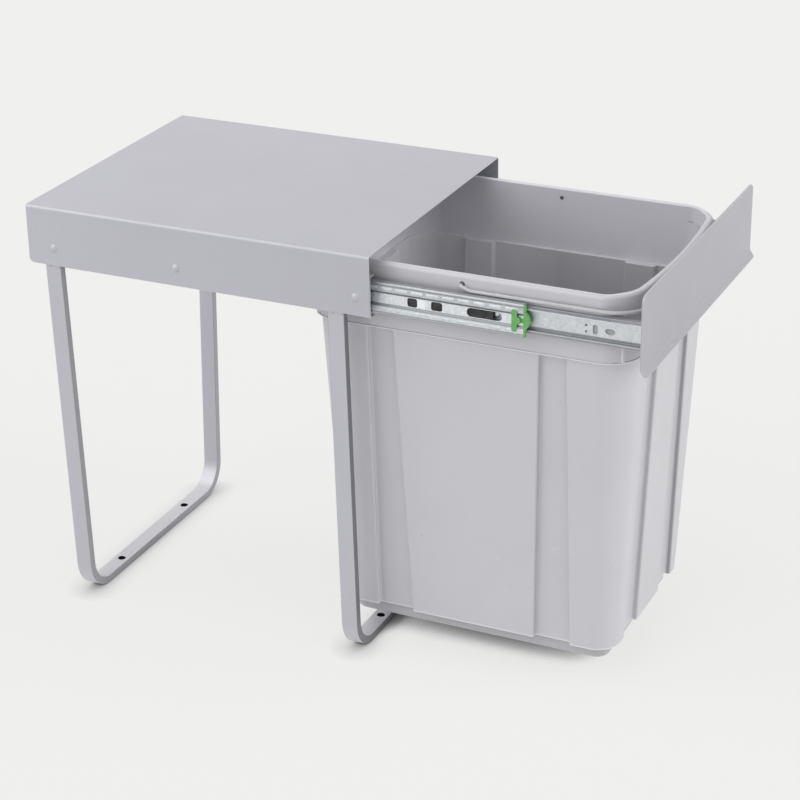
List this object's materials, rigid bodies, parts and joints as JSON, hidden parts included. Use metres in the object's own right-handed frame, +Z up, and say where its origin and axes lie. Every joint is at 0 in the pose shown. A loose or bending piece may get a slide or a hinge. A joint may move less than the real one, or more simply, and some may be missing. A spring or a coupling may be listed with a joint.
{
  "type": "built-in pull-out waste bin",
  "caption": "Grey pull-out waste bin for a kitchen base unit: folded steel cover on bent bar legs, ball slides, front plate and a tapered plastic tub with a wire bail.",
  "frame": {"origin": "centre of the four floor screw holes, on the cabinet floor", "axes": "+Z up from the cabinet floor; the drawer opens along -Y; X runs across the unit"},
  "size_m": [0.264, 0.5208, 0.3586],
  "materials": {
    "grey_paint": "satin grey powder coat with a faint metallic look",
    "zinc_plated_steel": "bright zinc plate, slightly mottled",
    "ball_steel": "polished",
    "green_clip": "moulded green plastic",
    "bin_plastic": "pale grey polypropylene, fine satin texture",
    "bail_wire": "grey coated wire"
  },
  "bodies": {
    "frame": {"cover": "grey_paint", "leg_frame_front": "grey_paint", "leg_frame_rear": "grey_paint", "slide_outer_left": "zinc_plated_steel", "slide_outer_right": "zinc_plated_steel", "cover_rivets": "grey_paint", "slide_spacers": "zinc_plated_steel"},
    "drawer": {"slide_inner_left": "zinc_plated_steel", "slide_inner_right": "zinc_plated_steel", "side_rail_left": "grey_paint", "side_rail_right": "grey_paint", "rail_rivets": "zinc_plated_steel", "front_plate": "grey_paint", "rear_bar": "grey_paint", "bin": "bin_plastic"},
    "bail": {"bail_handle": "bail_wire"},
    "middle_slide_left": {"slide_middle_left": "zinc_plated_steel", "slide_clip_left": "green_clip"},
    "outer_ball_set_left": {"outer_cage_left": "zinc_plated_steel", "outer_balls_left": "ball_steel"},
    "inner_ball_set_left": {"inner_cage_left": "zinc_plated_steel", "inner_balls_left": "ball_steel"},
    "middle_slide_right": {"slide_middle_right": "zinc_plated_steel", "slide_clip_right": "green_clip"},
    "outer_ball_set_right": {"outer_cage_right": "zinc_plated_steel", "outer_balls_right": "ball_steel"},
    "inner_ball_set_right": {"inner_cage_right": "zinc_plated_steel", "inner_balls_right": "ball_steel"}
  },
  "joints": [
    {"name": "drawer_slide", "type": "slide", "parent": "frame", "child": "drawer", "axis": [0, -1, 0], "range_m": [-0.214, 0.085]},
    {"name": "bail_swing", "type": "hinge", "parent": "drawer", "child": "bail", "pos_m": [0, -0.22, 0.335], "axis": [-1, 0, 0], "range_deg": [0, 7]},
    {"name": "middle_slide_left_travel", "type": "slide", "parent": "frame", "child": "middle_slide_left", "axis": [0, -1, 0], "range_m": [-0.1284, 0.051]},
    {"name": "outer_ball_set_left_travel", "type": "slide", "parent": "frame", "child": "outer_ball_set_left", "axis": [0, -1, 0], "range_m": [-0.0642, 0.0255]},
    {"name": "inner_ball_set_left_travel", "type": "slide", "parent": "frame", "child": "inner_ball_set_left", "axis": [0, -1, 0], "range_m": [-0.1712, 0.068]},
    {"name": "middle_slide_right_travel", "type": "slide", "parent": "frame", "child": "middle_slide_right", "axis": [0, -1, 0], "range_m": [-0.1284, 0.051]},
    {"name": "outer_ball_set_right_travel", "type": "slide", "parent": "frame", "child": "outer_ball_set_right", "axis": [0, -1, 0], "range_m": [-0.0642, 0.0255]},
    {"name": "inner_ball_set_right_travel", "type": "slide", "parent": "frame", "child": "inner_ball_set_right", "axis": [0, -1, 0], "range_m": [-0.1712, 0.068]}
  ],
  "couplings": [
    {"joint": "middle_slide_left_travel", "follows": "drawer_slide", "ratio": 0.6},
    {"joint": "outer_ball_set_left_travel", "follows": "drawer_slide", "ratio": 0.3},
    {"joint": "inner_ball_set_left_travel", "follows": "drawer_slide", "ratio": 0.8},
    {"joint": "middle_slide_right_travel", "follows": "drawer_slide", "ratio": 0.6},
    {"joint": "outer_ball_set_right_travel", "follows": "drawer_slide", "ratio": 0.3},
    {"joint": "inner_ball_set_right_travel", "follows": "drawer_slide", "ratio": 0.8}
  ]
}
